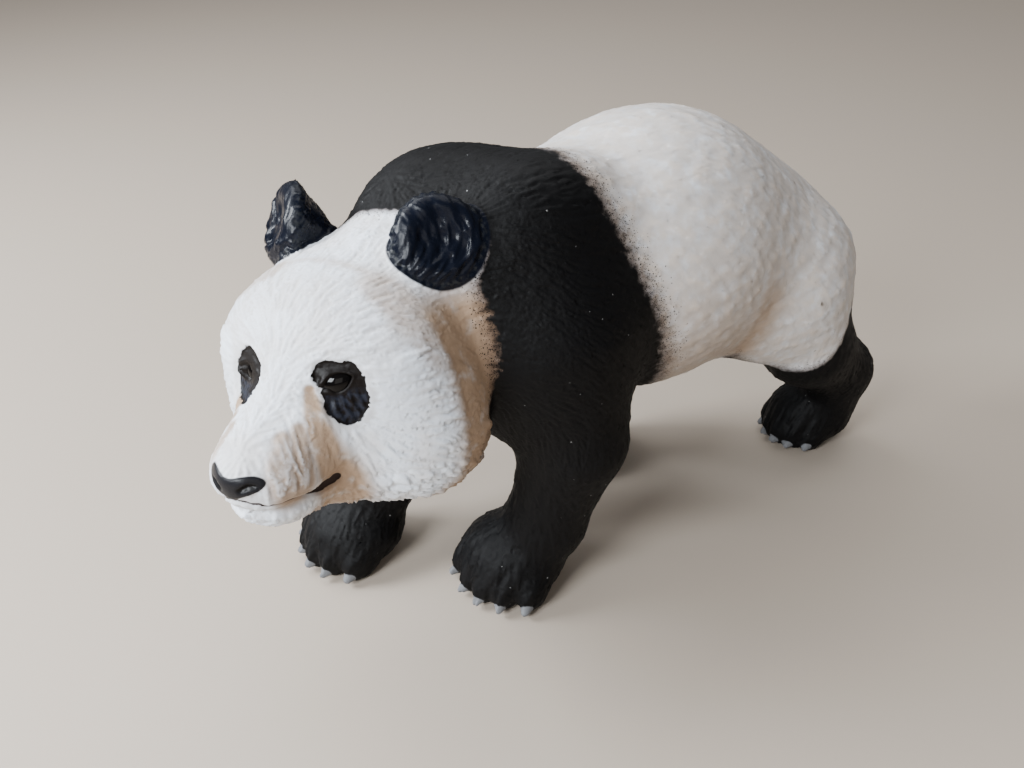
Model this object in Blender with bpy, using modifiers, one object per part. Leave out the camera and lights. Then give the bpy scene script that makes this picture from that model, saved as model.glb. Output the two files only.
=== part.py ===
"""A giant panda figurine, moulded in one piece of plastic, walking with its head low and turned to its left.

The animal faces -Y, its left side is +X, and it stands on four flat soles at Z = 0. It is modelled the way a
sculptor works clay: rounded lumps are pressed together, sockets and creases are cut in, the skin is smoothed
over the joins, and the paws are cut flat underfoot.
"""

import math

import bmesh
import bpy
import numpy as np
from mathutils import Matrix, Vector

# The one size in metres, from nose to rump. The places and radii below are shares of it: they are in the
# sculptor's own units, and the finished clay is scaled to this length.
FIGURE_LENGTH = 0.098

# The grain of the clay while it is worked, and the facets of the finished skin.
CLAY_GRAIN = 0.55
SKIN_FACETS = 9400

# The head: where its middle is, and how far it turns to the left, tips to the left and lifts, in degrees.
HEAD_PLACE = Vector((1.6, -34.6, 35.6))
HEAD_TURN = 31.0
HEAD_TIP = -4.0
HEAD_LIFT = 5.0

EAR_RADIUS = 4.5
EAR_TURN = 40.0
EYE_PLACE = Vector((4.6, -10.8, 3.6))
EYE_RADIUS = 1.1
EYE_TURN = 24.0
EYE_SOCKET = (2.6, 1.9, 1.9)
MOUTH_WIDTH = 0.5
CHEEK_TUFTS = 12
TOES = 5

# The stride. The lower joints of each leg, and where its paw is set down and how far its toes turn out.
FRONT_LEGS = (
    {"side": 1, "elbow": (10.5, -12.7, 22.8), "wrist": (8.4, -14.8, 9.5), "paw": (6.0, -18.2), "turn": 18},
    {"side": -1, "elbow": (-11.5, -20, 21), "wrist": (-10.4, -28, 10.5), "paw": (-10.8, -32.4), "turn": 6},
)
HIND_LEGS = (
    {"side": 1, "hip": (8.5, 25, 31), "knee": (9.6, 31, 21), "hock": (9.8, 40.2, 13.5), "paw": (6.6, 39), "turn": 0},
    {"side": -1, "hip": (-8.5, 22, 31), "knee": (-10.5, 7, 21), "hock": (-11, 10, 12), "paw": (-10.5, 3), "turn": -6},
)

PLASTIC = (0.80, 0.77, 0.72, 1.0)
ROUGHNESS = 0.5

FAR = 50.0
NEARBY = 4.0
LONGEST_SLIDE = 0.8


class Egg:
    """A lump of clay with three half-axes, which knows how far any point is from its skin."""

    def __init__(self, matrix, half, blend):
        self.matrix = matrix
        self.half = np.array(half)
        self.blend = blend
        self.middle = np.array(matrix.translation)
        self.reach = max(half) + 2.0 * blend

    def distance(self, points):
        inverse = np.array(self.matrix.inverted())
        local = points @ inverse[:3, :3].T + inverse[:3, 3]
        near = np.linalg.norm(local / self.half, axis=1)
        slope = np.linalg.norm(local / self.half**2, axis=1)
        return near * (near - 1.0) / np.maximum(slope, 1e-9)

    def rough_shapes(self):
        yield ball(1.0, self.matrix @ Matrix.Diagonal((*self.half, 1.0)))


class Limb:
    """A round length of clay that tapers from one rounded end to the other."""

    def __init__(self, start, end, radii, blend):
        self.start = start
        self.along = end - start
        self.radii = radii
        self.blend = blend
        self.middle = np.array((start + end) / 2)
        self.reach = self.along.length / 2 + max(radii) + 2.0 * blend

    def distance(self, points):
        start, along = np.array(self.start), np.array(self.along)
        share = np.clip((points - start) @ along / (along @ along), 0.0, 1.0)
        radius = self.radii[0] + (self.radii[1] - self.radii[0]) * share
        return np.linalg.norm(points - start - share[:, None] * along, axis=1) - radius

    def rough_shapes(self):
        for share, radius in zip((0, 1), self.radii):
            yield ball(radius, Matrix.Translation(self.start + share * self.along))
        rod = bmesh.new()
        turn = self.along.to_track_quat("Z", "Y").to_matrix().to_4x4()
        bmesh.ops.create_cone(
            rod,
            cap_ends=True,
            segments=24,
            radius1=self.radii[0],
            radius2=self.radii[1],
            depth=self.along.length,
            matrix=Matrix.Translation(self.start + self.along / 2) @ turn,
        )
        yield rod


class Cluster:
    """Lumps pressed together, with sockets and grooves cut in, ready to be pressed on the figure as one lump."""

    def __init__(self, lumps, cuts=(), blend=1.0):
        self.lumps = lumps
        self.cuts = cuts
        self.blend = blend
        self.middle = np.mean([lump.middle for lump in lumps], axis=0)
        self.reach = max(np.linalg.norm(lump.middle - self.middle) + lump.reach for lump in lumps)

    def distance(self, points):
        distance = np.full(len(points), FAR)
        for lump in self.lumps:
            near = np.linalg.norm(points - lump.middle, axis=1) < lump.reach + NEARBY
            distance[near] = soft_union(distance[near], lump.distance(points[near]), lump.blend)
        for tool in self.cuts:
            near = np.linalg.norm(points - tool.middle, axis=1) < tool.reach + NEARBY
            distance[near] = -soft_union(-distance[near], tool.distance(points[near]), tool.blend)
        return distance

    def rough_shapes(self):
        for lump in self.lumps:
            yield from lump.rough_shapes()


def ball(radius, matrix):
    """A round ball of clay in a mesh of its own."""
    made = bmesh.new()
    bmesh.ops.create_uvsphere(made, u_segments=24, v_segments=16, radius=radius, matrix=matrix)
    return made


def turned(x=0.0, y=0.0, z=0.0):
    """Turns about X, then Y, then Z, in degrees."""
    matrix = Matrix()
    for angle, axis in ((z, "Z"), (y, "Y"), (x, "X")):
        matrix = matrix @ Matrix.Rotation(math.radians(angle), 4, axis)
    return matrix


def egg(centre, half, tilt=0.0, blend=4.0, frame=Matrix()):
    """A clay egg with its half-axes, tilted nose down or up about X, in the body's frame or another."""
    return Egg(frame @ Matrix.Translation(centre) @ turned(x=tilt), half, blend)


def limb(start, end, start_radius, end_radius, blend=4.0, frame=Matrix()):
    """A round clay limb that tapers from one end to the other."""
    return Limb(frame @ Vector(start), frame @ Vector(end), (start_radius, end_radius), blend)


def soft_union(first, second, width):
    """The smaller of two distances, rounded over where they are nearly equal."""
    closeness = np.maximum(width - np.abs(first - second), 0.0)
    return np.minimum(first, second) - closeness * closeness / (4.0 * width)


def slope_of(cluster, points, here, step=0.05):
    """Which way, and how steeply, the distance to a cluster's skin rises at each point."""
    slope = np.empty_like(points)
    for axis in range(3):
        shift = np.zeros(3)
        shift[axis] = step
        slope[:, axis] = (cluster.distance(points + shift) - here) / step
    return slope


def onto_skin(cluster, points, rounds=4):
    """The points slid along the slope of the distance until they lie on the cluster's skin."""
    points = np.array(points, float)
    for _ in range(rounds):
        here = cluster.distance(points)
        slope = slope_of(cluster, points, here)
        steepness = np.maximum((slope * slope).sum(axis=1), 0.25)
        points -= slope * (np.clip(here, -LONGEST_SLIDE, LONGEST_SLIDE) / steepness)[:, None]
    return points


def torso():
    """The barrel of the body, from the shoulders' hump to the rump and its short tail."""
    neck_end = HEAD_PLACE + Vector((-1.5, 5.5, 5.0))
    return [
        egg((0, 5.5, 38.2), (15.8, 21, 17.4)),
        egg((0, 23, 33), (14, 15.2, 13.6), tilt=-20, blend=6),
        egg((0, -15, 37), (13.8, 13, 16), blend=6),
        egg((5, -14, 47.2), (6, 9, 7), blend=5),
        egg((-5.5, -20.5, 47), (6, 9, 7), blend=5),
        limb((-0.5, -18, 40), neck_end, 12, 9.2),
        limb((0, 36.5, 32), (0, 38.8, 26), 3, 1.8, blend=2),
    ]


def front_leg(side, elbow, wrist, paw, turn):
    """A straight, heavy foreleg on a broad paw."""
    shoulder = (side * 7.5, -14, 35)
    heel = (*paw, 4.6)
    return [
        limb(shoulder, elbow, 9.3, 6.2, blend=5),
        limb(elbow, wrist, 6.0, 4.6, blend=2),
        limb(wrist, heel, 4.8, 4.2, blend=2),
    ] + foot(paw, turn, 6.7, 6.6)


def hind_leg(side, hip, knee, hock, paw, turn):
    """A hind leg: the haunch, the shank down to the hock, and the long foot set flat."""
    heel = (hock[0] - side, hock[1] + 0.8, 4.8)
    return [
        egg(hip, (7, 11.5, 11), tilt=14, blend=2.5),
        limb(hip, knee, 7.6, 6.2, blend=2.5),
        limb(knee, hock, 6.2, 4.7, blend=2),
        limb(hock, heel, 4.7, 4.2, blend=2),
    ] + foot(paw, turn, 5.4, 6.0)


def foot(paw, turn, half_width, half_length):
    """A broad paw: the pad, and five toes in an arc across its front, each with a blunt claw."""
    frame = Matrix.Translation((*paw, 0)) @ turned(z=turn)
    lumps = [egg((0, 0, 4.0), (half_width, half_length, 5.0), blend=2, frame=frame)]
    for toe in range(TOES):
        spread = 2.0 * toe / (TOES - 1) - 1.0
        across = spread * (half_width - 1.4)
        front = -half_length + 1.6 + 2.4 * spread * spread
        lumps.append(egg((across, front, 2.4), (1.55, 2.6, 2.6), blend=0.7, frame=frame))
        lumps.append(egg((across * 1.1, front - 2.4, 1.1), (0.75, 1.0, 0.8), blend=0.3, frame=frame))
    return lumps


def head_frame():
    """The head's own frame: the face looks along its -Y, and its +X is the animal's left."""
    return Matrix.Translation(HEAD_PLACE) @ turned(-HEAD_LIFT, HEAD_TIP, HEAD_TURN)


def head():
    """The round skull, the full cheeks, and the short muzzle with its nose, mouth and chin."""
    frame = head_frame()
    lumps = [
        egg((0, 0.5, 1), (12.6, 11.6, 11.6), frame=frame),
        egg((0, -4, 3.6), (11.2, 7.2, 7.2), blend=3, frame=frame),
        limb((0, -6, 0.8), (0, -16.0, -2.9), 5.4, 3.6, blend=4, frame=frame),
        limb((0, -5, -3.6), (0, -14.2, -4.6), 7.0, 4.1, blend=4, frame=frame),
        egg((0, -4, -7.4), (7.6, 7, 4.2), blend=3, frame=frame),
    ]
    for side in (-1, 1):
        lumps.append(egg((side * 6.8, 0, -3.8), (7.2, 8.4, 8.2), blend=3, frame=frame))
    lumps.append(egg((0, -11.3, -7.0), (3.9, 5.6, 2.2), tilt=8, blend=0.8, frame=frame))
    lumps.append(egg((0, -18.9, -2.4), (2.3, 1.4, 1.6), blend=0.4, frame=frame))
    face = Cluster(lumps)
    carved = list(lumps)
    cuts = mouth(face, frame)
    eyeballs = []
    for side in (-1, 1):
        carved += cheek_tufts(face, frame, side)
        set_in = eye_frame(face, frame, side)
        cuts.append(egg((0, -1.2 * EYE_RADIUS, 0), EYE_SOCKET, blend=0.5, frame=set_in))
        eyeballs.append(egg((0, 0.55 * EYE_RADIUS, 0), (EYE_RADIUS,) * 3, blend=0.2, frame=set_in))
    ears = [ear(frame, side) for side in (-1, 1)]
    return Cluster([Cluster(carved, cuts)] + eyeballs + ears, blend=1.5)


def eye_frame(face, frame, side):
    """The place of an eye on the skin, facing a little outwards."""
    x, y, z = EYE_PLACE
    place = onto_skin(face, [frame @ Vector((side * x, y, z))])[0]
    return Matrix.Translation(place) @ frame.to_3x3().to_4x4() @ turned(z=side * EYE_TURN)


def mouth(face, frame):
    """The groove between the lips, from under the nose to both corners."""
    path = [(0, -18.4, -5.0), (2.2, -17.4, -5.6), (4.2, -15.2, -5.9), (5.4, -13.2, -5.5), (6.0, -11.8, -4.6)]
    grooves = []
    for side in (-1, 1):
        points = onto_skin(face, [frame @ Vector((side * x, y, z)) for x, y, z in path])
        for start, end in zip(points, points[1:]):
            grooves.append(limb(start, end, MOUTH_WIDTH, MOUTH_WIDTH, blend=0.3))
    return grooves


def cheek_tufts(face, frame, side):
    """The locks that end the ruff of a cheek, fanned from behind the chin up to below the ear."""
    tufts = []
    for index in range(CHEEK_TUFTS):
        angle = math.radians(-115 + 105 * index / (CHEEK_TUFTS - 1))
        out = Vector((side * math.cos(angle), 0, math.sin(angle)))
        ring = Vector((side * 6.5, 0, -3.5)) + 9 * out
        root, tip = onto_skin(face, [frame @ (ring + Vector((0, along, 0))) for along in (-2.5, 2.0)])
        lift = frame.to_3x3() @ out
        tufts.append(limb(Vector(root) - 1.0 * lift, Vector(tip) + 0.2 * lift, 1.3, 0.6, blend=0.5))
    return tufts


def ear(frame, side):
    """A round ear on the back of the skull: a dished disc with a rim, on a root that runs back to the nape."""
    place = frame @ Matrix.Translation((side * 8.9, 2.9, 13.5)) @ turned(x=-20, z=side * EAR_TURN)
    disc = egg((0, 0, 0), (EAR_RADIUS, 1.8, EAR_RADIUS), frame=place)
    root = limb((0, 1.2, -0.8), (-side * 0.8, 5.5, -3.6), 3.6, 2.4, blend=1.2, frame=place)
    dish = egg((0, -4.4, 0.2), (1.15 * EAR_RADIUS, 3.7, 1.12 * EAR_RADIUS), blend=0.5, frame=place)
    return Cluster([disc, root], [dish], blend=1.0)


def figure():
    """The whole animal in clay."""
    body = torso()
    for leg in FRONT_LEGS:
        body += front_leg(**leg)
    for leg in HIND_LEGS:
        body += hind_leg(**leg)
    return Cluster([Cluster(body), head()])


def rough_clay(animal):
    """A mesh of the bare lumps, one ball or tapered rod for each, still passing through each other."""
    rough = bmesh.new()
    for shape in animal.rough_shapes():
        piece = bpy.data.meshes.new("lump")
        shape.to_mesh(piece)
        shape.free()
        rough.from_mesh(piece)
        bpy.data.meshes.remove(piece)
    mesh = bpy.data.meshes.new("panda_figurine")
    rough.to_mesh(mesh)
    rough.free()
    return mesh


def worked(mesh, kind, **settings):
    """The mesh as one modifier leaves it."""
    helper = bpy.data.objects.new("worked", mesh)
    bpy.context.scene.collection.objects.link(helper)
    modifier = helper.modifiers.new(kind.title(), kind)
    for name, value in settings.items():
        setattr(modifier, name, value)
    bpy.context.view_layer.update()
    made = bpy.data.meshes.new_from_object(helper.evaluated_get(bpy.context.evaluated_depsgraph_get()))
    bpy.data.objects.remove(helper)
    bpy.data.meshes.remove(mesh)
    return made


def settle(mesh, animal, rounds):
    """Slides every vertex towards the blended skin, and on to it if there are rounds enough."""
    points = np.empty(len(mesh.vertices) * 3)
    mesh.vertices.foreach_get("co", points)
    mesh.vertices.foreach_set("co", onto_skin(animal, points.reshape(-1, 3), rounds).ravel())
    mesh.update()


def skin():
    """The figurine's skin as sculpted: the clay fused, settled, smoothed and thinned to facets."""
    animal = figure()
    mesh = worked(rough_clay(animal), "REMESH", mode="VOXEL", voxel_size=CLAY_GRAIN, adaptivity=0.0)
    for _ in range(4):
        settle(mesh, animal, rounds=1)
        mesh = worked(mesh, "SMOOTH", factor=0.5, iterations=3)
    settle(mesh, animal, rounds=2)
    facets = 2 * len(mesh.polygons)
    return worked(mesh, "DECIMATE", ratio=SKIN_FACETS / facets, use_collapse_triangulate=True)


def stand_on_soles(mesh):
    """Cuts the paws flat at the ground, puts the origin there under the middle, and scales to the real length."""
    cut = bmesh.new()
    cut.from_mesh(mesh)
    everything = cut.verts[:] + cut.edges[:] + cut.faces[:]
    bmesh.ops.bisect_plane(cut, geom=everything, dist=1e-4, plane_co=(0, 0, 0), plane_no=(0, 0, 1), clear_inner=True)
    bmesh.ops.holes_fill(cut, edges=[edge for edge in cut.edges if edge.is_boundary])
    bmesh.ops.triangulate(cut, faces=cut.faces)
    corners = np.array([vertex.co for vertex in cut.verts])
    low, high = corners.min(axis=0), corners.max(axis=0)
    bmesh.ops.translate(cut, verts=cut.verts, vec=(-(low[0] + high[0]) / 2, -(low[1] + high[1]) / 2, 0))
    unit = FIGURE_LENGTH / (high[1] - low[1])
    bmesh.ops.scale(cut, verts=cut.verts, vec=(unit, unit, unit))
    cut.to_mesh(mesh)
    cut.free()


def painted_plastic():
    """The pale plastic that the figurine is cast in."""
    material = bpy.data.materials.new("painted_plastic")
    material.use_nodes = True
    shader = material.node_tree.nodes["Principled BSDF"]
    shader.inputs["Base Color"].default_value = PLASTIC
    shader.inputs["Roughness"].default_value = ROUGHNESS
    shader.inputs["Metallic"].default_value = 0.0
    return material


def main():
    for leftover in list(bpy.data.objects):
        bpy.data.objects.remove(leftover)
    mesh = skin()
    stand_on_soles(mesh)
    mesh.shade_smooth()
    mesh.materials.append(painted_plastic())
    collection = bpy.data.collections.new("Panda figurine")
    bpy.context.scene.collection.children.link(collection)
    collection.objects.link(bpy.data.objects.new("panda_figurine", mesh))


main()
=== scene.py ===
import math

import bmesh
import bpy
import numpy as np
from mathutils import Matrix, Vector
from mathutils.kdtree import KDTree


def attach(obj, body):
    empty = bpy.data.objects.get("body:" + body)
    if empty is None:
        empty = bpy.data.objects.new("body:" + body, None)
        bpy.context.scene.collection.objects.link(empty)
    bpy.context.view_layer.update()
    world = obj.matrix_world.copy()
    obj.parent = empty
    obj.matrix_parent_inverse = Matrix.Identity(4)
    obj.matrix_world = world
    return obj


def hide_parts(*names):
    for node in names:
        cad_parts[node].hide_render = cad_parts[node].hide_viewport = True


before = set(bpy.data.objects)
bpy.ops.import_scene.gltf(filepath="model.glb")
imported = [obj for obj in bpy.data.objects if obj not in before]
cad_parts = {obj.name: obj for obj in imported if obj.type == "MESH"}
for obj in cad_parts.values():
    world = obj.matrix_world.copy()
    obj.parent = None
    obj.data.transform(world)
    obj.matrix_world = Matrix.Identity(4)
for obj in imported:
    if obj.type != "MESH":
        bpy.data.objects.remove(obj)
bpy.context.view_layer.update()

# The casting. The whole animal is one piece of soft vinyl, moulded from a carved master, so its skin is one closed
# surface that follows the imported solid. It is drawn with a finer grain here, so that it can take the carved coat.
GRAIN = 0.21
MM = 1000.0


def worked(thing, kind, **settings):
    """Applies one of Blender's modifiers to a mesh object."""
    modifier = thing.modifiers.new("work", kind)
    for name, value in settings.items():
        setattr(modifier, name, value)
    graph = bpy.context.evaluated_depsgraph_get()
    mesh = bpy.data.meshes.new_from_object(thing.evaluated_get(graph))
    thing.modifiers.clear()
    old, thing.data = thing.data, mesh
    bpy.data.meshes.remove(old)


def numbers_of(things, what, width):
    """One property of all these things, as an array of rows this wide."""
    values = np.empty(width * len(things), np.float32)
    things.foreach_get(what, values)
    return values.reshape(-1, width).astype(np.float64)


def placed(mesh, points):
    """Moves a mesh's points to these places, in millimetres."""
    mesh.vertices.foreach_set("co", (points / MM).astype(np.float32).ravel())
    mesh.update()


def ease(value, low, high):
    """0 below low, 1 above high, and a smooth rise between. High may be the smaller one."""
    share = np.clip((value - low) / (high - low), 0.0, 1.0)
    return share * share * (3.0 - 2.0 * share)


def turned(x=0.0, y=0.0, z=0.0):
    """A turn of these degrees, about X first, then Y and Z."""
    return (
        Matrix.Rotation(math.radians(z), 4, "Z")
        @ Matrix.Rotation(math.radians(y), 4, "Y")
        @ Matrix.Rotation(math.radians(x), 4, "X")
    )


def seen_from(frame_matrix, points):
    """Points in the axes of a local frame."""
    back = np.array(frame_matrix.inverted())
    return points @ back[:3, :3].T + back[:3, 3]


figure = bpy.data.objects.new("panda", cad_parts["panda_figurine"].data.copy())
bpy.context.scene.collection.objects.link(figure)
shell = bmesh.new()
shell.from_mesh(figure.data)
bmesh.ops.remove_doubles(shell, verts=shell.verts, dist=1e-6)
shell.to_mesh(figure.data)
shell.free()
figure.data.materials.clear()
worked(figure, "SUBSURF", levels=2, render_levels=2)

# The claws. Five blunt claws stand out of the front of each paw, low down, moulded with it and painted grey white.
# Each is a short bent cone whose root is buried in its toe.
SHIFT = Vector((0.45, 3.55, 0.0))
PAWS = (
    {"place": (6.0, -18.2), "turn": 18, "width": 6.7, "length": 6.6},
    {"place": (-10.8, -32.4), "turn": 6, "width": 6.7, "length": 6.6},
    {"place": (6.6, 39.0), "turn": 0, "width": 5.4, "length": 6.0},
    {"place": (-10.5, 3.0), "turn": -6, "width": 5.4, "length": 6.0},
)
PAW_SIDES = 1.4
CLAWS = 5
CLAW_RADIUS = 0.6
CLAW_HEIGHT = 1.25
CLAW_AHEAD = 0.55
CLAW_ROW_BULGE = 2.4
CLAW_BEND = 0.12
CLAW_SIDES = 12
CLAW_RINGS = ((-1.5, 0.8), (-0.5, 1.0), (0.1, 1.0), (0.38, 0.8), (0.55, 0.42))


def claw_places():
    """The middle of each claw, and the way that it points."""
    places = []
    for paw in PAWS:
        foot = Matrix.Translation((*paw["place"], 0.0)) @ turned(z=paw["turn"])
        for claw in range(CLAWS):
            spread = 2.0 * claw / (CLAWS - 1) - 1.0
            across = spread * (paw["width"] - PAW_SIDES) * 1.1
            front = -paw["length"] - CLAW_AHEAD + CLAW_ROW_BULGE * spread * spread
            ahead = foot.to_3x3() @ Vector((0.55 * spread, -1.0, -0.35)).normalized()
            places.append((foot @ Vector((across, front, CLAW_HEIGHT)) + SHIFT, ahead))
    return places


def claw_form(mesh, place, ahead):
    """A claw made of rings, round at the tip, bending down as it goes."""
    side = ahead.cross(Vector((0, 0, 1))).normalized()
    over = side.cross(ahead)
    turns = [math.tau * step / CLAW_SIDES for step in range(CLAW_SIDES)]
    rings = []
    for along, radius in CLAW_RINGS:
        middle = place + ahead * along - over * (CLAW_BEND * max(along, 0.0) ** 2)
        spokes = [CLAW_RADIUS * radius * (math.cos(turn) * side + math.sin(turn) * over) for turn in turns]
        rings.append([mesh.verts.new((middle + spoke) / MM) for spoke in spokes])
    for first, second in zip(rings, rings[1:]):
        for here in range(CLAW_SIDES):
            after = (here + 1) % CLAW_SIDES
            mesh.faces.new((first[here], first[after], second[after], second[here]))
    mesh.faces.new(rings[0][::-1])
    mesh.faces.new(rings[-1])


claws = claw_places()
shell = bmesh.new()
shell.from_mesh(figure.data)
for place, ahead in claws:
    claw_form(shell, place, ahead)
bmesh.ops.recalc_face_normals(shell, faces=shell.faces)
shell.to_mesh(figure.data)
shell.free()
worked(figure, "REMESH", mode="VOXEL", voxel_size=GRAIN / MM)
worked(figure, "SMOOTH", factor=0.5, iterations=5)

skin = numbers_of(figure.data.vertices, "co", 3) * MM
out = numbers_of(figure.data.vertices, "normal", 3)
soles = skin[:, 2] < 0.35
finder = KDTree(len(skin))
for index, point in enumerate(skin.tolist()):
    finder.insert(point, index)
finder.balance()

# The head. Its own axes start in the middle of the skull: X to the animal's left, Y to the back and Z up. The face,
# ears and ruff are placed in them, because the head is turned to the left and lowered.
SKULL = Vector((1.6, -34.6, 35.6))
HEAD_TURN = (-5.0, -4.0, 31.0)
HEAD = Matrix.Translation(SKULL + SHIFT) @ turned(*HEAD_TURN)
face = seen_from(HEAD, skin)
face_out = out @ np.array(HEAD.to_3x3())
flat_face = face[:, [0, 2]]
front_of_head = face[:, 1] < -4.0

# The eye patches. Each is a black painted field, sunk a little into the face, with the lids at its top and combed
# strokes below them. The near one is a leaning rounded oblong, the far one is seen as a kite.
NEAR_PATCH = ((3.5, 5.5), (4.8, 6.0), (7.0, 5.6), (7.8, 4.2), (8.15, 1.3), (6.5, -0.4), (5.3, 1.0), (3.8, 4.0))
FAR_PATCH = ((-4.2, 6.3), (-2.4, 5.7), (-1.35, 4.5), (-1.7, 3.2), (-2.8, 1.6), (-4.6, 1.5), (-6.0, 2.7), (-5.6, 4.4))
EYE_CORNERS = (((4.0, 3.3), (6.9, 4.5)), ((-3.2, 3.5), (-5.4, 4.2)))
EYE_OPEN = 0.88
LID_MARGIN = 0.15
PATCH_DEPTH = 0.2
FAR_EYE_CARVING = 0.45
OUTSIDE = -9.0


def rounded(corners):
    """The outline with its corners cut twice, so that it bends softly."""
    for _ in range(2):
        after = np.roll(corners, -1, axis=0)
        cut = np.stack([0.75 * np.array(corners) + 0.25 * after, 0.25 * np.array(corners) + 0.75 * after], axis=1)
        corners = cut.reshape(-1, 2)
    return corners


def inside_outline(points, corners):
    """Signed distance of flat points from a closed outline, positive inside."""
    corners = np.asarray(corners, float)
    away = np.full(len(points), 1e9)
    inside = np.zeros(len(points), bool)
    for first, second in zip(corners, np.roll(corners, -1, axis=0)):
        edge = second - first
        share = np.clip((points - first) @ edge / (edge @ edge), 0.0, 1.0)
        away = np.minimum(away, np.linalg.norm(points - first - share[:, None] * edge, axis=1))
        crosses = (points[:, 1] < first[1]) != (points[:, 1] < second[1])
        at = first[0] + (points[:, 1] - first[1]) * edge[0] / (edge[1] if edge[1] else 1e-9)
        inside ^= crosses & (points[:, 0] < at)
    return np.where(inside, away, -away)


def slow_noise(points, size, seed):
    """A soft random field, about 1 high either way, whose lumps are about this many millimetres across."""
    draw = np.random.default_rng(seed)
    field = np.zeros(len(points))
    for _ in range(7):
        way = draw.normal(size=3)
        way /= np.linalg.norm(way)
        field += np.sin(math.tau * (points @ way) / (size * draw.uniform(1.2, 2.6)) + draw.uniform(0, math.tau))
    return field / 2.0


def eye_axes(corners):
    """A frame in an eye: its middle on the skin, X from corner to corner, and -Y out of the face, all in head axes."""
    inner, outer = (np.array(corner) for corner in corners)
    middle = (inner + outer) / 2.0
    near = (np.linalg.norm(flat_face - middle, axis=1) < 1.5) & front_of_head & (face_out[:, 1] < 0.0)
    forward = Vector(face_out[near].mean(0)).normalized()
    across = (outer - inner) * np.sign(outer[0] - inner[0])
    way = Vector((across[0], 0.0, across[1]))
    way = (way - way.dot(forward) * forward).normalized()
    axes = Matrix((way, -forward, forward.cross(way))).transposed().to_4x4()
    return Matrix.Translation((middle[0], np.mean(face[near, 1]), middle[1])) @ axes


patch = np.maximum(
    inside_outline(flat_face, rounded(NEAR_PATCH)), inside_outline(flat_face, rounded(FAR_PATCH))
)
patch += 0.05 * slow_noise(face, 0.9, 31) + 0.05
patch = np.where(front_of_head, patch, -5.0)
lift = -PATCH_DEPTH * ease(patch, -0.15, 0.2)
eye_frames = []
almond = np.full(len(skin), OUTSIDE)
carved = np.where(face[:, 0] > 0.3, 1.0, FAR_EYE_CARVING)
for corners in EYE_CORNERS:
    eye_frame = eye_axes(corners)
    eye_frames.append(eye_frame)
    half = math.dist(*corners) / 2.0 + LID_MARGIN
    local = seen_from(eye_frame, face)
    open_here = EYE_OPEN * (1.0 - (local[:, 0] / half) ** 2) - np.abs(local[:, 2])
    open_here = np.where((np.abs(local[:, 0]) < half + 1.0) & (np.abs(local[:, 1]) < 2.5), open_here, OUTSIDE)
    almond = np.maximum(almond, open_here)
lid = np.exp(-(((almond + 0.16) / 0.2) ** 2))
lift += carved * (0.11 * lid - 0.7 * ease(almond, -0.05, 0.25))
bristles = ease(patch, 0.0, 0.3) * ease(almond, -0.05, -0.3) * ease(face[:, 2], 2.6, 3.6)
lower_patch = ease(patch, 0.0, 0.35) * ease(almond, -0.1, -0.5) * ease(face[:, 2], 3.6, 2.6)
strand = np.cos(math.tau * (face[:, 0] + 0.35 * face[:, 2]) / 0.62)
lift += 0.09 * strand * lower_patch * carved

# The nose. A dark satin pad with a flat top, a comma nostril on each side and a groove down to the lip. It is moulded
# with the muzzle, a little proud of it, and its middle lies slightly to the left of the skull's.
NOSE_MIDDLE = 0.15
NOSE_PAD = (
    (-2.9, -1.9), (-2.2, -1.2), (-1.0, -1.35), (0.15, -1.75), (1.3, -1.5), (2.3, -1.55), (3.1, -2.2),
    (2.7, -2.9), (1.5, -3.35), (0.45, -3.8), (-0.15, -3.8), (-1.2, -3.35), (-2.6, -2.8),
)
NOSTRIL = ((1.25, -20.2, -2.75), (1.9, -19.6, -2.35), (2.45, -18.9, -2.5))
LIP_GROOVE = ((NOSE_MIDDLE, -21.2, -3.2), (NOSE_MIDDLE, -20.4, -4.4))


def near_path(points, path):
    """How far points are from a bent line, and how far along it they lie, from 0 to 1."""
    path = np.asarray(path, float)
    lengths = np.linalg.norm(np.diff(path, axis=0), axis=1)
    starts = np.concatenate([[0.0], np.cumsum(lengths)])
    best = np.full(len(points), 1e9)
    share = np.zeros(len(points))
    for first, second, length, start in zip(path, path[1:], lengths, starts):
        if length < 1e-6:
            continue
        way = (second - first) / length
        along = np.clip((points - first) @ way, 0.0, length)
        away = np.linalg.norm(points - first - along[:, None] * way, axis=1)
        closer = away < best
        best[closer] = away[closer]
        share[closer] = (start + along[closer]) / starts[-1]
    return best, share


def on_both_sides(path):
    """A path on the left of the face, and its mirror image on the right."""
    return [[(NOSE_MIDDLE + side * (x - NOSE_MIDDLE), y, z) for x, y, z in path] for side in (1, -1)]


nose = np.where(face[:, 1] < -16.5, inside_outline(flat_face, rounded(NOSE_PAD)), -5.0)
lift += 0.2 * ease(nose, -0.15, 0.15)
nostril = np.full(len(skin), 9.0)
for path in on_both_sides(NOSTRIL):
    away, along = near_path(face, path)
    nostril = np.minimum(nostril, away / (0.34 - 0.2 * along))
lift -= 0.34 * ease(nostril, 1.4, 0.3)
lip_groove, _ = near_path(face, LIP_GROOVE)
lift -= 0.22 * ease(lip_groove, 0.35, 0.0)

# The mouth. A thin cut between the lips, painted dark brown. It runs from under the nose to both corners of the mouth
# and is widest there.
MOUTH = (
    (0.15, -19.6, -4.1), (0.9, -19.35, -4.2), (1.9, -19.0, -4.5), (2.65, -18.35, -4.9), (3.6, -17.4, -5.0),
    (4.15, -16.3, -5.2), (4.2, -14.8, -5.6), (4.3, -13.3, -5.85), (4.6, -12.3, -5.65), (4.85, -11.7, -5.4),
)


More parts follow.
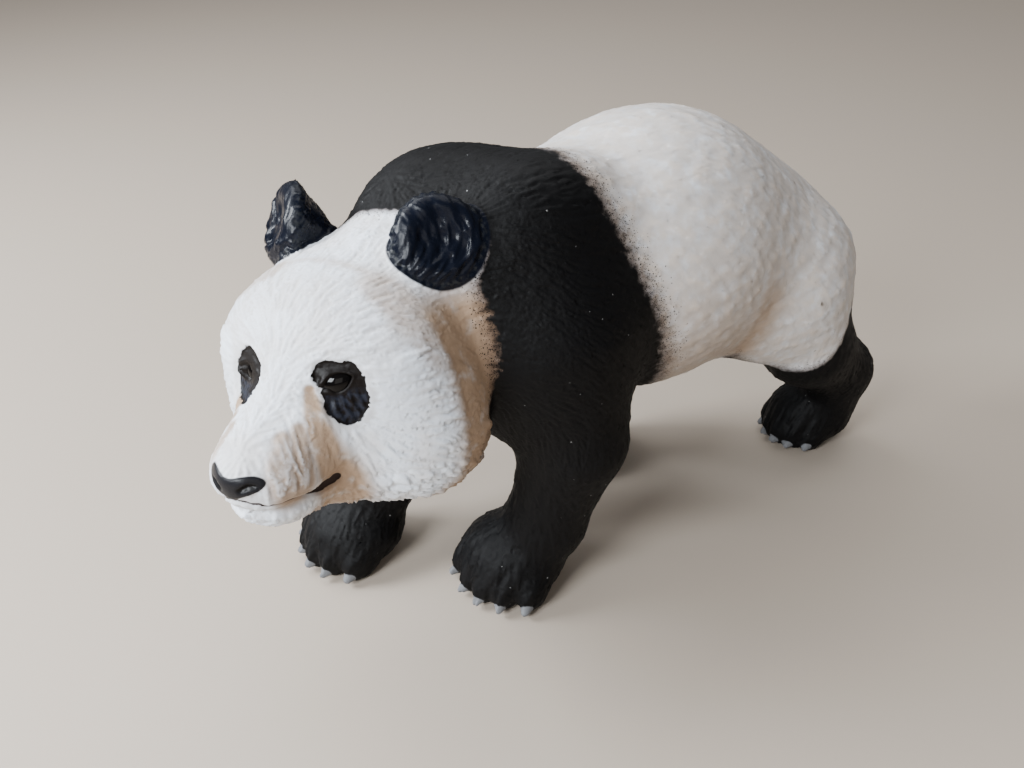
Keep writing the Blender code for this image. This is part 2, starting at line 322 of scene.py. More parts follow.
def on_skin(path, steps=6):
    """A bent line in the head's axes, cut finer and laid on the skin."""
    fine = [
        Vector(first).lerp(Vector(second), step / steps)
        for first, second in zip(path, path[1:])
        for step in range(steps)
    ]
    return [tuple(face[finder.find(HEAD @ spot)[1]]) for spot in [*fine, Vector(path[-1])]]


mouth = np.full(len(skin), OUTSIDE)
for path in on_both_sides(MOUTH):
    away, along = near_path(face, on_skin(path))
    mouth = np.maximum(mouth, 0.15 + 0.12 * ease(along, 0.35, 0.5) + 0.16 * ease(along, 0.78, 0.93) - away)
lift -= 0.3 * ease(mouth, -0.25, 0.1)

# The ears. Round cups facing forwards and out, gloss black inside, with wrinkles that run down to the root and a rim
# nicked all round and flecked with a paler grey. Their backs are combed towards the nape.
EAR_PLACE = (8.9, 2.9, 13.5)
EAR_SIZE = (5.1, 3.0, 5.1)
EAR_LEAN = -20.0
EAR_TURN = 40.0
EAR_ROOT = ((0.0, 1.2, -0.8), (-0.8, 6.0, -3.8))
ROOT_RADIUS = 3.9
RIM_RADIUS = 4.5
SKULL_MIDDLE = (0.0, 0.5, 1.0)
SKULL_SIZE = (12.9, 11.9, 11.9)

ear = np.full(len(skin), OUTSIDE)
ear_cup = np.zeros(len(skin))
ear_rim = np.zeros(len(skin))
aside, behind, above = EAR_PLACE
for side in (1, -1):
    place = HEAD @ Matrix.Translation((side * aside, behind, above)) @ turned(x=EAR_LEAN, z=side * EAR_TURN)
    local = seen_from(place, skin)
    local_out = out @ np.array(place.to_3x3())
    radius = np.linalg.norm(local[:, [0, 2]], axis=1)
    body = np.linalg.norm(local / np.array(EAR_SIZE), axis=1)
    root, _ = near_path(local, [(side * x, y, z) for x, y, z in EAR_ROOT])
    own = np.maximum(3.0 * (1.0 - body), ROOT_RADIUS - root)
    skull = np.linalg.norm((face - np.array(SKULL_MIDDLE)) / np.array(SKULL_SIZE), axis=1)
    own = np.minimum(own, 12.0 * (skull - 1.0) + 0.1)
    ear = np.maximum(ear, own)
    cup = ease(own, 0.0, 0.3) * ease(local_out[:, 1], 0.15, -0.25) * ease(radius, 4.9, 4.2)
    ear_cup = np.maximum(ear_cup, cup)
    around = np.arctan2(local[:, 0], local[:, 2])
    fan = local * np.array((1.0, 0.4, 0.28)) + np.array((0.12, 0.0, 0.0)) * local[:, 2:3] ** 2
    folds = 1.0 - 1.1 * np.abs(slow_noise(fan + 9.0 * side, 0.75, 21)) - 0.6 * np.abs(slow_noise(fan, 0.42, 22))
    deeper_below = 0.4 + 0.6 * ease(local[:, 2] - 0.5 * side * local[:, 0], 2.5, -0.5)
    lift += 0.15 * folds * cup * ease(radius, 4.9, 3.7) * deeper_below
    rim = ease(own, 0.0, 0.3) * np.exp(-(((radius - RIM_RADIUS) / 0.3) ** 2)) * ease(local_out[:, 1], 0.75, 0.2)
    ear_rim = np.maximum(ear_rim, rim)
    nicks = np.sin(19.0 * around + 2.5 * np.sin(3.0 * around)) + 0.6 * np.sin(31.0 * around + 1.0)
    lift += 0.07 * rim * nicks

# The toes. Shallow grooves carved into the top of each paw part its five toes. The grey paint of a claw covers what
# stands out of its toe, low down.
CLAW_PAINT = 0.92
CLAW_PAINT_TOP = 2.6
on_claw = np.full(len(skin), OUTSIDE)
for place, ahead in claws:
    offset = skin - np.array(place)
    along = np.clip(offset @ np.array(ahead), 0.0, 1.0)
    offset -= 0.3 * along[:, None] * np.array(ahead)
    on_claw = np.maximum(on_claw, CLAW_PAINT - np.linalg.norm(offset, axis=1))
on_claw = np.where(skin[:, 2] < CLAW_PAINT_TOP, on_claw, OUTSIDE)
for paw in PAWS:
    foot = Matrix.Translation(Vector((*paw["place"], 0.0)) + SHIFT) @ turned(z=paw["turn"])
    local = seen_from(foot, skin)
    reach = ease(local[:, 1], -1.0, -3.5) * ease(local[:, 2], 8.0, 5.5) * ease(np.abs(local[:, 0]), 8.5, 7.5)
    pitch = (paw["width"] - PAW_SIDES) / 2.0
    groove = np.abs((local[:, 0] / pitch - 0.5 + 8.0) % 1.0 - 0.5) * pitch
    lift -= 0.16 * ease(groove, 0.5, 0.0) * reach * ease(np.abs(local[:, 0]), 5.0, 4.0)

# The coat. The fur is carved in the mould: fine strokes all over, longer ridged locks on the cheeks, the sides of the
# muzzle and the shoulders, and a scalloped fringe along the lower edge of the ruff.
BRIDGE = ((0.3, -17.0, -0.6), (0.3, -9.5, 4.8))
CHEEK_FOLD = (
    (3.4, -11.9, 3.4), (4.4, -12.9, 1.0), (5.0, -13.0, -1.4),
    (5.1, -12.4, -3.8), (5.1, -11.4, -6.2), (4.5, -10.6, -8.2),
)
LOCK_SIZES = (0.75, 1.25)
LOCK_BEND = 0.12
lots = np.random.default_rng(11)
behind_ruff = ease(face[:, 1], 2.0, 7.0)


def lay_of_the_coat():
    """The way the fur lies at each point of the skin."""
    start, end = np.array(BRIDGE, float)
    way = end - start
    share = np.clip((face - start) @ way / (way @ way), 0.0, 1.0)
    spread = face - start - share[:, None] * way
    spread += np.array((0.0, 1.0, 0.15)) * (0.8 + 0.25 * share[:, None])
    spread /= np.linalg.norm(spread, axis=1)[:, None]
    hanging = ease(face[:, 1], -9.5, -12.0) * ease(np.abs(face[:, 0]), 1.0, 2.6) * ease(face[:, 2], 4.5, 2.0)
    down = np.column_stack([0.2 * np.sign(face[:, 0]), np.full(len(face), -0.3), np.full(len(face), -0.93)])
    spread += hanging[:, None] * (down - spread)
    head_lay = spread @ np.array(HEAD.to_3x3()).T
    low = ease(skin[:, 2], 34.0, 22.0)
    chest = ease(skin[:, 1], -14.0, -24.0)
    flank = ease(skin[:, 2], 54.0, 40.0)
    body_lay = np.column_stack([np.zeros(len(skin)), 1.0 - 0.8 * low - 0.9 * chest, -0.25 - 0.55 * flank - 1.6 * low])
    paw_lay = ease(skin[:, 2], 9.0, 5.0)[:, None]
    body_lay += paw_lay * (np.array((0.0, -1.4, 0.0)) - 0.3 * body_lay)
    mix = behind_ruff[:, None]
    head_lay /= np.linalg.norm(head_lay, axis=1)[:, None]
    body_lay /= np.linalg.norm(body_lay, axis=1)[:, None]
    return head_lay * (1.0 - mix) + body_lay * mix


def along_skin(ways):
    """These ways laid flat on the skin, one long."""
    flat = ways - (ways * out).sum(1)[:, None] * out
    return flat / np.maximum(np.linalg.norm(flat, axis=1), 1e-6)[:, None]


lay = along_skin(lay_of_the_coat())
sway = np.cross(out, lay)
wide, narrow = slow_noise(skin, 3.0, 5)[:, None], slow_noise(skin, 1.2, 6)[:, None]
lay = along_skin(lay + 0.16 * sway * wide + 0.06 * sway * narrow)
sway = np.cross(out, lay)


def grid_keys(points, cell):
    """A number for the cube of space that each point lies in, mixed with three large primes."""
    cube = np.floor(points / cell).astype(np.int64)
    return (cube[:, 0] * 73856093) ^ (cube[:, 1] * 19349663) ^ (cube[:, 2] * 83492791)


def combed(values, stride, rounds):
    """Values drawn out along the lay of the coat, which turns grains of noise into fine strokes."""
    cell = 1.25 * GRAIN
    keys = grid_keys(skin, cell)
    order = np.argsort(keys, kind="stable")
    ranked = keys[order]
    own = np.arange(len(skin))
    steps = []
    for way in (1.0, -1.0):
        wanted = grid_keys(skin + way * stride * lay, cell)
        spot = np.minimum(np.searchsorted(ranked, wanted), len(ranked) - 1)
        steps.append(np.where(ranked[spot] == wanted, order[spot], own))
    total = values.copy()
    for step in steps:
        here = own
        for _ in range(rounds):
            here = step[here]
            total += values[here]
    return total / total.std()


def rooted(share, spacing):
    """Points of the skin picked about this far apart, fewer where the share is small."""
    order = lots.permutation(len(skin))
    order = order[lots.random(len(order)) < share[order]]
    _, first = np.unique(grid_keys(skin[order], spacing), return_index=True)
    return order[np.sort(first)]


def locks(roots, length, width, height, taper):
    """Carved locks: ridges that rise from the root to a pointed tip, each lying over the ones behind it."""
    raised = np.zeros(len(skin))
    reach = 0.5 * length * LOCK_SIZES[1] + width
    spots, owners = [], []
    middles = skin[roots] + 0.5 * length * lay[roots]
    for number, middle in enumerate(middles.tolist()):
        found = [index for _, index, _ in finder.find_range(middle, reach)]
        spots.append(np.array(found, np.int64))
        owners.append(np.full(len(found), number))
    spots, owners = np.concatenate(spots), np.concatenate(owners)
    home = roots[owners]
    size = lots.uniform(*LOCK_SIZES, len(roots))[owners]
    offset = skin[spots] - skin[home]
    along = (offset * lay[home]).sum(1) / (length * size)
    across = (offset * sway[home]).sum(1)
    across -= lots.normal(0.0, LOCK_BEND, len(roots))[owners] * length * along * np.abs(along)
    half = width * size * (1.0 - np.clip(along, 0, 1) ** taper) * (0.7 + 0.3 * np.clip(3 * along, 0, 1))
    dome = np.clip(1.0 - (across / np.maximum(half, 1e-3)) ** 2, 0.0, 1.0)
    rise = ease(along, -0.02, 0.3) * (0.5 + 0.5 * np.clip(along, 0, 1)) * (along < 1.0)
    value = height * size * dome * rise
    facing = (out[spots] * out[home]).sum(1) > 0.2
    np.maximum.at(raised, spots, np.where(facing, value, 0.0))
    return raised


bald = np.maximum.reduce(
    [ease(patch, -0.15, 0.1), ease(nose, -0.2, 0.1), ease(mouth, -0.35, -0.1), ear_cup, ease(on_claw, -0.2, 0.1)]
)
furred = (1.0 - bald) * ~soles
in_ear = ease(ear, -0.1, 0.3)
cheek = (
    (1.0 - behind_ruff) * ease(face[:, 2], 6.0, 0.5)
    * ease(np.abs(face[:, 0]), 5.0, 7.5) * ease(face[:, 1], -13.5, -10.5)
)
muzzle = (
    ease(face[:, 1], -8.5, -11.0) * ease(face[:, 1], -18.6, -17.0)
    * ease(face[:, 2], 4.6, 3.4) * ease(np.abs(face[:, 0]), 1.6, 3.0)
)
muzzle *= ease(face[:, 2], -7.0, -5.0) * (1.0 - cheek)
cheek *= ease(face[:, 1], -1.2, -2.6)
fringe = cheek * ease(face[:, 2], -5.5, -7.5) * ease(np.abs(face[:, 0]), 3.0, 5.0)
brow = (1.0 - behind_ruff) * (1.0 - cheek) * (1.0 - muzzle) * (1.0 - in_ear)
neck_slope = ease(face[:, 1], -3.2, -1.6) * ease(face[:, 2], 9.0, 6.0) * (1.0 - behind_ruff)
rump = behind_ruff * ease(skin[:, 1] + 0.44 * skin[:, 2], 13.5, 16.0) * ease(skin[:, 2], 17.0, 24.0)
black_coat = behind_ruff * (1.0 - rump) * (1.0 - in_ear)

relief = np.zeros(len(skin))
for region, spacing, length, width, height, taper in (
    (cheek, 0.95, 4.0, 0.50, 0.40, 2.0),
    (cheek, 0.6, 2.8, 0.32, 0.32, 2.0),
    (fringe, 0.75, 1.4, 0.52, 0.62, 5.0),
    (muzzle, 0.6, 4.6, 0.30, 0.34, 2.0),
    (brow * (1.0 - 0.8 * neck_slope), 0.55, 2.6, 0.26, 0.13, 2.0),
    (in_ear * (1.0 - ear_cup), 0.45, 3.4, 0.26, 0.20, 2.0),
    (black_coat, 0.7, 3.4, 0.30, 0.15, 2.0),
    (black_coat * ease(skin[:, 2], 21.0, 15.0), 1.3, 3.4, 0.55, 0.24, 2.0),
    (rump, 0.9, 2.2, 0.45, 0.07, 2.0),
):
    chosen = rooted(region * furred, spacing)
    relief = np.maximum(relief, locks(chosen, length, width, height, taper) * furred)
relief *= 1.0 - 0.85 * neck_slope * ease(face[:, 2], -9.0, -6.5)
relief *= 0.25 + 0.75 * ease(mouth, -0.5, -1.3)
beside = np.abs(face[:, 0] - NOSE_MIDDLE)
mirrored = np.column_stack([beside + NOSE_MIDDLE, face[:, 1:]])
fold, _ = near_path(mirrored, CHEEK_FOLD)
relief *= 1.0 - 0.6 * ease(fold, 2.6, 1.2) * ease(face[:, 2], 1.5, -1.0)
strokes = combed(lots.normal(size=len(skin)), 1.3 * GRAIN, 6)
relief += furred * strokes * (
    0.022 * cheek + 0.022 * muzzle + 0.028 * brow + 0.022 * black_coat + 0.012 * rump
)
relief += rump * furred * 0.035 * slow_noise(skin, 1.0, 9)
relief += 0.035 * strokes * in_ear * (1.0 - ear_cup)
lift += 0.025 * strokes * bristles
lift = np.where(soles, 0.0, lift + relief - 0.09)
moved = skin + out * lift[:, None] + lay * (0.5 * relief * cheek)[:, None]
moved[:, 2] = np.maximum(moved[:, 2], 0.0)
placed(figure.data, moved)

# The paint. Black is airbrushed over the white casting: the shoulders, forelegs and chest, and the hind legs. The
# edges are soft and speckled. Tan is breathed on behind the cheeks and beside the muzzle. The places are kept on the
# casting as distances in millimetres, and the finish turns them into paint.
NECK_EDGE = 3.6
BELT_TOP = (-8.3, 54.4)
BELT_SLOPE = 0.40
FORELEG_TOP = 24.0
CHEST_TOP = 22.0
THIGH = (27.5, 19.3)
TAIL = ((0.45, 39.5, 32.5), (0.45, 42.3, 26.0))
TAIL_RADIUS = 3.6
UNPAINTED = -20.0
TAN_STROKES = (
    (CHEEK_FOLD, (0.6, 3.3), 1.0),
    (((3.0, -15.8, 0.4), (3.3, -17.2, -1.6), (3.6, -17.4, -3.2)), (0.9, 1.6), 0.85),
    (((3.6, -14.3, 0.6), (4.2, -15.3, -1.4), (4.3, -15.9, -3.4), (4.1, -16.6, -4.4)), (0.8, 2.2), 0.9),
    (((6.4, -3.8, 10.6), (9.0, -3.6, 8.6), (11.6, -2.4, 5.6)), (2.2, 3.2), 0.6),
    (((4.0, -12.5, -7.8), (0.2, -12.5, -8.6)), (1.6, 2.0), 0.8),
    (((0.5, -7.5, 10.5), (5.0, -6.5, 9.5)), (2.6, 2.6), 0.14),
)


def black_paint():
    """How far inside the black coat a point lies, in millimetres."""
    across, back, up = skin.T
    neck_edge = NECK_EDGE + 1.7 * ease(face[:, 2], 9.0, 14.0) - 2.4 * ease(face[:, 2], -2.0, -6.5)
    belt = BELT_TOP[0] + BELT_SLOPE * (BELT_TOP[1] - up) - back
    fore = np.where(back > 12.0, UNPAINTED, np.minimum(1.6 * (face[:, 1] - neck_edge), 0.6 * belt))
    foreleg = np.minimum(FORELEG_TOP - up, belt + 3.0)
    fore = np.maximum(fore, np.where((up < FORELEG_TOP) & (back < 6.0), foreleg, UNPAINTED))
    chest = np.minimum(fore, np.where(up > CHEST_TOP, -1.0, 9.0))
    fore = np.where(face[:, 1] < NECK_EDGE - 1.5, chest, fore)
    thigh = THIGH[1] + np.where(back < THIGH[0], 0.055, 0.16) * (back - THIGH[0]) ** 2
    shin = np.where(up < 20.0, 13.0, 18.8)
    left = np.minimum(np.minimum(thigh, 28.5) - up, back - shin)
    right = np.maximum(np.minimum(20.5 - up, 30.0 - back), np.minimum(19.0 - up, 5.0))
    tail, _ = near_path(skin, TAIL)
    hind = np.minimum(np.where(across > 0.0, left, right), tail - TAIL_RADIUS)
    return np.maximum(fore, np.where(back > -4.0, hind, UNPAINTED))


black = black_paint()
tan_and_low_rump_shade = ease(face[:, 1], -4.6, -2.0) * ease(beside, 6.0, 9.5) * ease(face[:, 2], 11.0, 7.0)
tan_and_low_rump_shade = np.maximum(tan_and_low_rump_shade, 0.5 * ease(face[:, 1], -3.2, -1.2) * ease(face[:, 2], -8.0, -10.0))
tan_and_low_rump_shade *= 1.0 - ease(face[:, 1], 3.8, 5.4)
for path, (start, end), strength in TAN_STROKES:
    away, along = near_path(mirrored, path)
    away = away / (start + (end - start) * along)
    tan_and_low_rump_shade = np.maximum(tan_and_low_rump_shade, strength * ease(away, 1.3, 0.55))
behind_brow = 0.4 * np.exp(-(((face[:, 1] + 3.0) / 0.5) ** 2)) * ease(face[:, 2], 9.5, 11.5) * ease(beside, 7.0, 5.0)
tan_and_low_rump_shade = np.maximum(tan_and_low_rump_shade, behind_brow)
crease = np.exp(-(((skin[:, 1] - 17.5) / 2.6) ** 2)) * ease(skin[:, 2], 42.0, 33.0) * ease(skin[:, 2], 22.0, 26.0)
tan_and_low_rump_shade = np.maximum(tan_and_low_rump_shade, 0.8 * crease)
# Painted shade: tan laid low on the rump, stronger towards the bottom, as the shade that falls there.
tan_and_low_rump_shade = np.maximum(tan_and_low_rump_shade, 0.48 * rump * ease(skin[:, 2], 46.0, 26.0) * ease(skin[:, 1], 20.0, 15.0))
tan_and_low_rump_shade = np.where(beside < 1.2, np.minimum(tan_and_low_rump_shade, 0.4), tan_and_low_rump_shade)
tan_and_low_rump_shade *= 1.0 - 0.5 * ease(relief, 0.22, 0.34) * ease(face[:, 1], -9.0, -11.0) * ease(face[:, 2], -5.0, -2.5)

for name, values in (
    ("black", black),
    ("patch", patch),
    ("nose", nose),
    ("nostril", nostril),
    ("mouth", mouth),
    ("claw", on_claw),
    ("ear", ear),
    ("cup", ear_cup),
    ("rim", ear_rim),
    ("tan_and_low_rump_shade", tan_and_low_rump_shade),
    ("relief", relief),
    ("strokes", strokes),
    ("low_patch", lower_patch),
    ("rump", rump),
):
    figure.data.attributes.new(name, "FLOAT", "POINT").data.foreach_set("value", values.astype(np.float32))

# The drawing is kept whole on the head, where the carving is finest, and thinned behind the neck. The mould's parting
# behind the ruff divides it into two closed pieces that share every point of the parting line.
BODY_FACES = 196000
PARTING = 9.0
THROAT = 23.0
WALL = 0.6


def behind_parting(points):
    """Positive behind the parting, negative in the head, in millimetres."""
    return np.maximum(seen_from(HEAD, points)[:, 1] - PARTING, THROAT - points[:, 2])


worked(figure, "TRIANGULATE")
middles = numbers_of(figure.data.polygons, "center", 3) * MM
in_head = int((behind_parting(middles) < 0.0).sum())
loose = figure.vertex_groups.new(name="loose")
loose.add(np.flatnonzero(behind_parting(moved) > 1.0).tolist(), 1.0, "REPLACE")
worked(
    figure, "DECIMATE", ratio=(in_head + BODY_FACES) / len(figure.data.polygons),
    vertex_group="loose", vertex_group_factor=1000.0,
)


def neighbours():
    """The pairs of faces that share an edge."""
    loops = figure.data.loops
    edges = np.empty(len(loops), np.int32)
    loops.foreach_get("edge_index", edges)
    order = np.argsort(edges, kind="stable")
    shared = edges[order][1:] == edges[order][:-1]
    return np.column_stack([order[:-1][shared], order[1:][shared]]) // 3


def islands_of(pairs, count):
    """A number for each face, the same all over an island of faces joined by these pairs."""
    island = np.arange(count)
    while True:
        before = island.copy()
        ends = before[pairs]
        lowest = ends.min(1)
        for column in (0, 1):
            np.minimum.at(island, pairs[:, column], lowest)
            np.minimum.at(island, ends[:, column], lowest)
        island = island[island]
        if (island == before).all():
            return island


def divided():
    """The side of the parting that each face belongs to: 1 the head, 0 the body. Islands are joined to the side that
    lies around them, and a loose crumb inside the casting is -1."""
    ahead = behind_parting(numbers_of(figure.data.polygons, "center", 3) * MM) < 0.0
    pairs = neighbours()
    island = islands_of(pairs[ahead[pairs[:, 0]] == ahead[pairs[:, 1]]], len(ahead))
    sides = np.full(len(ahead), -1)
    for side in (0, 1):
        numbers, sizes = np.unique(island[ahead == side], return_counts=True)
        sides[island == numbers[sizes.argmax()]] = side
    while True:
        ends = sides[pairs]
        open_ends = (ends.min(1) < 0) & (ends.max(1) >= 0)
        if not open_ends.any():
            return sides
        sides[pairs[open_ends, ends[open_ends].argmin(1)]] = ends[open_ends].max(1)


def side_of_parting(name, side):
    """One side of the casting as a closed piece."""
    part = bmesh.new()
    part.from_mesh(figure.data)
    wrong = sides != side
    part.faces.ensure_lookup_table()
    bmesh.ops.delete(part, geom=[part.faces[number] for number in np.flatnonzero(wrong)], context="FACES")
    rim = [edge for edge in part.edges if edge.is_boundary]
    for edge in rim:
        edge.smooth = False
    wall = bmesh.ops.extrude_edge_only(part, edges=rim)["geom"]
    for vertex in (item for item in wall if isinstance(item, bmesh.types.BMVert)):
        vertex.co -= WALL / MM * inwards[finder_of_rim.find(vertex.co)[1]]
    rim = [item for item in wall if isinstance(item, bmesh.types.BMEdge)]
    bmesh.ops.triangulate(part, faces=bmesh.ops.holes_fill(part, edges=rim)["faces"])
    bmesh.ops.recalc_face_normals(part, faces=part.faces)
    mesh = bpy.data.meshes.new(name)
    part.to_mesh(mesh)
    part.free()
    piece = bpy.data.objects.new(name, mesh)
    bpy.context.scene.collection.objects.link(piece)
    return piece


figure.data.shade_smooth()
inwards = [vertex.normal.copy() for vertex in figure.data.vertices]
finder_of_rim = KDTree(len(inwards))
for vertex in figure.data.vertices:
    finder_of_rim.insert(vertex.co, vertex.index)
finder_of_rim.balance()
sides = divided()
head = side_of_parting("panda_head", 1)
body = side_of_parting("panda_body", 0)
bpy.data.objects.remove(figure)
for piece in (head, body):
    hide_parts("panda_figurine")
    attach(piece, "root")


# The finish. Satin acrylic over the vinyl, in the layers that the painter laid: cream white, tan, black with its
# speckle, then the patches, nose, mouth, claws and ears. Painted shade goes in with them: grey where the carved relief
# is low, tan low on the rump and a deeper black in the nostrils.
WHITE = (0.745, 0.80, 0.88, 1.0)
CREAM = (0.62, 0.55, 0.49, 1.0)
PAINTED_GROOVE_SHADE = (0.49, 0.475, 0.47, 1.0)
TAN_AND_RUMP_SHADE = (0.345, 0.235, 0.152, 1.0)
COAT_BLACK = (0.0014, 0.0014, 0.0018, 1.0)
OVERSPRAY = (0.06, 0.035, 0.024, 1.0)
PATCH_BLACK = (0.004, 0.0026, 0.0022, 1.0)
PATCH_BLUE = (0.016, 0.019, 0.03, 1.0)
NOSE_BLACK = (0.010, 0.010, 0.012, 1.0)
MOUTH_BROWN = (0.02, 0.010, 0.008, 1.0)
CLAW_GREY = (0.15, 0.155, 0.165, 1.0)
EAR_BLACK = (0.0026, 0.0038, 0.0085, 1.0)
EYE_BLACK_AND_NOSTRIL_SHADE = (0.0025, 0.002, 0.002, 1.0)
DUST = (0.22, 0.22, 0.22, 1.0)
RIM_GREY = (0.028, 0.03, 0.03, 1.0)
WHITE_ROUGHNESS = 0.42
BLACK_ROUGHNESS = 0.60

finish = bpy.data.materials.new("painted_plastic")
finish.use_nodes = True
finish.node_tree.nodes.clear()


def node(kind, inputs=(), **settings):
    """One step of the finish. Inputs are numbers, colours or the outputs of other steps."""
    step = finish.node_tree.nodes.new("ShaderNode" + kind)
    for name, value in settings.items():
        setattr(step, name, value)
    for name, value in dict(inputs).items():
        if isinstance(value, bpy.types.NodeSocket):
            finish.node_tree.links.new(value, step.inputs[name])
        else:
            step.inputs[name].default_value = value
    return step


def kept(name):
    """A value kept on the casting."""
    return node("Attribute", attribute_name=name).outputs["Fac"]


def sums(kind, first, second):
    """One step of arithmetic on two values."""
    return node("Math", {0: first, 1: second}, operation=kind).outputs[0]


def between(value, low, high, top=1.0):
    """0 at low, top at high, and a smooth rise between them."""
    inputs = {"Value": value, "From Min": low, "From Max": high, "To Min": 0.0, "To Max": top}
    return node("MapRange", inputs, interpolation_type="SMOOTHSTEP").outputs[0]


def laid(share, under, over):
    """One colour laid over another."""
    return node("Mix", {0: share, 6: under, 7: over}, data_type="RGBA").outputs[2]


def grain(size, detail=2.0):
    """Noise from 0 to 1 whose lumps are this many millimetres across."""
    return node("TexNoise", {"Vector": place, "Scale": MM / size, "Detail": detail}).outputs["Fac"]


def wander(size, detail, reach):
    """Noise about nothing, up to half this reach either way."""
    return sums("MULTIPLY", sums("SUBTRACT", grain(size, detail), 0.5), reach)


def grey(value):
    """The same number in every channel."""
    return (value, value, value, 1.0)


def specks(size, share):
    """Round dots of spattered paint in this share of the cells."""
    cells = node("TexVoronoi", {"Vector": place, "Scale": MM / size})
    draw = node("SeparateColor", {0: cells.outputs["Color"]})
    radius = between(draw.outputs[1], 0.0, 1.0, 0.42)
    dot = sums("LESS_THAN", cells.outputs["Distance"], radius)
    return sums("MULTIPLY", dot, sums("LESS_THAN", draw.outputs[0], share))


place = node("TexCoord").outputs["Object"]
edge = sums("ADD", kept("black"), wander(0.9, 5.0, 1.1))
edge = sums("ADD", edge, sums("MULTIPLY", kept("strokes"), 0.08))

cream_rump = sums("MULTIPLY", kept("rump"), between(grain(1.6, 4.0), 0.15, 0.6))
cream = sums("MAXIMUM", between(grain(5.0), 0.4, 0.75, 0.4), cream_rump)
colour = laid(cream, WHITE, CREAM)
# Painted shade: grey is laid in where the carved relief is low and left off the raised locks, as the shade between
# them.
colour = laid(between(kept("relief"), 0.16, 0.0, 0.6), colour, PAINTED_GROOVE_SHADE)
tan_and_rump_shade_share = sums("MULTIPLY", kept("tan_and_low_rump_shade"), between(grain(1.8, 3.0), 0.0, 0.5, 0.96))
colour = laid(tan_and_rump_shade_share, colour, TAN_AND_RUMP_SHADE)
colour = laid(between(edge, -1.7, 0.2, 0.85), colour, OVERSPRAY)
spatter = sums("MAXIMUM", specks(0.2, between(edge, -2.6, 0.2, 0.95)), specks(0.12, between(edge, -2.2, 0.1, 0.95)))
colour = laid(spatter, colour, COAT_BLACK)
colour = laid(between(edge, -0.35, 0.3), colour, COAT_BLACK)
ragged = sums("ADD", kept("patch"), sums("MULTIPLY", kept("strokes"), 0.06))
colour = laid(between(ragged, -0.05, 0.05), colour, PATCH_BLACK)
colour = laid(sums("MULTIPLY", kept("low_patch"), between(grain(0.5), 0.3, 0.7)), colour, PATCH_BLUE)
colour = laid(between(kept("ear"), -0.08, 0.08), colour, EAR_BLACK)
colour = laid(sums("MULTIPLY", kept("rim"), between(grain(0.4), 0.45, 0.65, 0.6)), colour, RIM_GREY)
colour = laid(between(kept("nose"), -0.06, 0.06), colour, NOSE_BLACK)
# Painted shade: the nostrils are painted a deeper black than the nose pad, as the shade in their hollows.
colour = laid(between(kept("nostril"), 1.3, 0.7), colour, EYE_BLACK_AND_NOSTRIL_SHADE)
colour = laid(between(kept("mouth"), -0.05, 0.05), colour, MOUTH_BROWN)
dust = sums("MULTIPLY", specks(0.22, 0.004), between(edge, 1.0, 2.0))
colour = laid(dust, colour, DUST)
colour = laid(between(kept("claw"), -0.04, 0.06), colour, CLAW_GREY)

roughness = laid(between(edge, -0.3, 0.3), grey(WHITE_ROUGHNESS), grey(BLACK_ROUGHNESS))
for name, margin, value in (("patch", 0.06, 0.46), ("nose", 0.06, 0.34), ("ear", 0.1, 0.28)):
    roughness = laid(between(kept(name), -margin, margin), roughness, grey(value))
roughness = sums("ADD", node("RGBToBW", {0: roughness}).outputs[0], wander(0.7, 3.0, 0.16))

bump = node("Bump", {"Height": grain(0.16, 3.0), "Strength": 0.25, "Distance": 0.06 / MM})
surface = node("BsdfPrincipled", {"Base Color": colour, "Roughness": roughness, "Normal": bump.outputs[0]})
surface.inputs["IOR"].default_value = 1.37
surface.inputs["Specular IOR Level"].default_value = 0.24
finish.node_tree.links.new(surface.outputs[0], node("OutputMaterial").inputs[0])
for piece in (head, body):
    piece.data.materials.append(finish)

# The eyes. Gloss black domes under the lids, moulded with the head and touched in with clear varnish. Each is a
# flattened ball that fills the opening between its lids, and the far one lies deeper.
LENS_MARGIN = 0.35
LENS_DEPTH = 1.6
LENS_HEIGHT = 1.4
EYES = (("eye_left", 1.7), ("eye_right", 2.05))

varnish = bpy.data.materials.new("eye_varnish")
varnish.use_nodes = True
lacquer = varnish.node_tree.nodes["Principled BSDF"]
lacquer.inputs["Base Color"].default_value = EYE_BLACK_AND_NOSTRIL_SHADE
lacquer.inputs["Roughness"].default_value = 0.08
lacquer.inputs["IOR"].default_value = 1.27

for (name, sunk), eye_frame, corners in zip(EYES, eye_frames, EYE_CORNERS):
    dome = bmesh.new()
    bmesh.ops.create_uvsphere(dome, u_segments=48, v_segments=28, radius=1.0)
    half = math.dist(*corners) / 2.0 + LENS_MARGIN
    for vertex in dome.verts:
        vertex.co = Vector((half * vertex.co.x, LENS_DEPTH * vertex.co.y, LENS_HEIGHT * vertex.co.z))
    dome.transform(Matrix.Scale(1.0 / MM, 4) @ HEAD @ eye_frame @ Matrix.Translation((0.0, sunk, 0.0)))
    eye = bpy.data.objects.new(name, bpy.data.meshes.new(name))
    bpy.context.scene.collection.objects.link(eye)
    dome.to_mesh(eye.data)
    dome.free()
    eye.data.shade_smooth()
    eye.data.materials.append(varnish)
    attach(eye, "root")

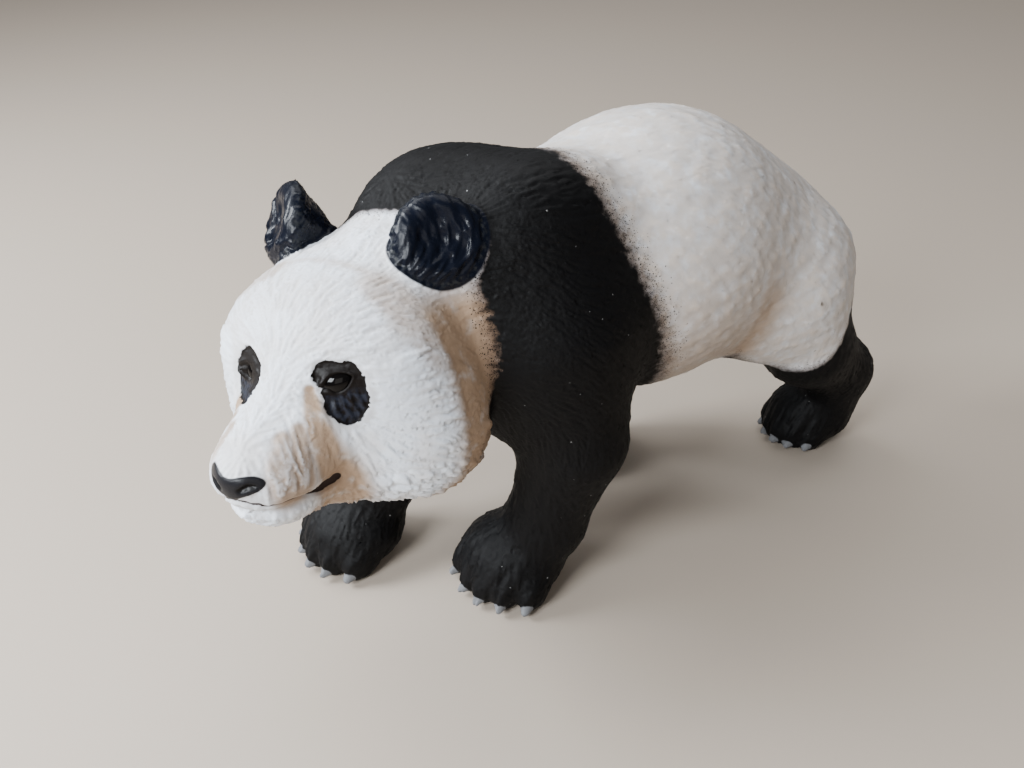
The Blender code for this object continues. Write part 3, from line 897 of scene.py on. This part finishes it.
# The floor, the lights and the camera. A plain pale floor, two small window panes ahead of the figure, soft light from
# the sky, the room and the ceiling, and a phone held a hand's breadth away, looking down at the head.
FLOOR_REACH = 1.1
floor_material = bpy.data.materials.new("pale_floor")
floor_material.use_nodes = True
floor_surface = floor_material.node_tree.nodes["Principled BSDF"]
floor_surface.inputs["Base Color"].default_value = (0.40, 0.34, 0.28, 1.0)
floor_surface.inputs["Roughness"].default_value = 0.6
floor_mesh = bmesh.new()
bmesh.ops.create_grid(floor_mesh, x_segments=2, y_segments=2, size=FLOOR_REACH)
floor = bpy.data.objects.new("floor", bpy.data.meshes.new("floor"))
bpy.context.scene.collection.objects.link(floor)
floor_mesh.to_mesh(floor.data)
floor_mesh.free()
floor.data.materials.append(floor_material)

HEAD_SPOT = (0, -0.03, 0.03)
BODY_SPOT = (0, 0, 0.03)
DAYLIGHT = (0.91, 0.955, 1.0)
CAMERA_PLACE = Vector((71.03, -59.90, 79.92)) / MM
CAMERA_WAY = Vector((-0.69087, 0.48375, -0.53730))
SENSOR = 36.0
PHOTO_WIDTH = 1024.0
FOCAL_IN_PIXELS = 830.0


def soft_light(name, place, aim, size, power, colour):
    """A square lamp that faces its aim."""
    lamp = bpy.data.lights.new(name, "AREA")
    lamp.size = size
    lamp.energy = power
    lamp.color = colour
    holder = bpy.data.objects.new(name, lamp)
    bpy.context.scene.collection.objects.link(holder)
    holder.location = place
    holder.rotation_euler = (Vector(aim) - Vector(place)).to_track_quat("-Z", "Y").to_euler()


soft_light("window", (-0.16, -0.24, 0.20), HEAD_SPOT, 0.12, 2.0, DAYLIGHT)
soft_light("second_window", (0.06, -0.21, 0.15), HEAD_SPOT, 0.09, 0.95, DAYLIGHT)
soft_light("sky", (-0.32, -0.12, 0.48), BODY_SPOT, 0.35, 2.0, (0.95, 0.975, 1.0))
soft_light("room", (0.45, -0.25, 0.25), BODY_SPOT, 0.35, 0.6, (1.0, 0.96, 0.90))
soft_light("ceiling", (-0.5, 0.6, 1.5), (-0.5, 0.6, 0.0), 1.4, 13.0, (1.0, 0.99, 0.97))

world = bpy.data.worlds.new("room")
bpy.context.scene.world = world
world.use_nodes = True
world.node_tree.nodes["Background"].inputs["Color"].default_value = (0.97, 0.97, 1.0, 1.0)
world.node_tree.nodes["Background"].inputs["Strength"].default_value = 0.2

camera = bpy.data.objects.new("camera", bpy.data.cameras.new("camera"))
bpy.context.scene.collection.objects.link(camera)
camera.data.lens = SENSOR * FOCAL_IN_PIXELS / PHOTO_WIDTH
camera.data.sensor_width = SENSOR
camera.data.clip_start = 0.005
camera.location = CAMERA_PLACE
camera.rotation_euler = CAMERA_WAY.to_track_quat("-Z", "Y").to_euler()
bpy.context.scene.camera = camera
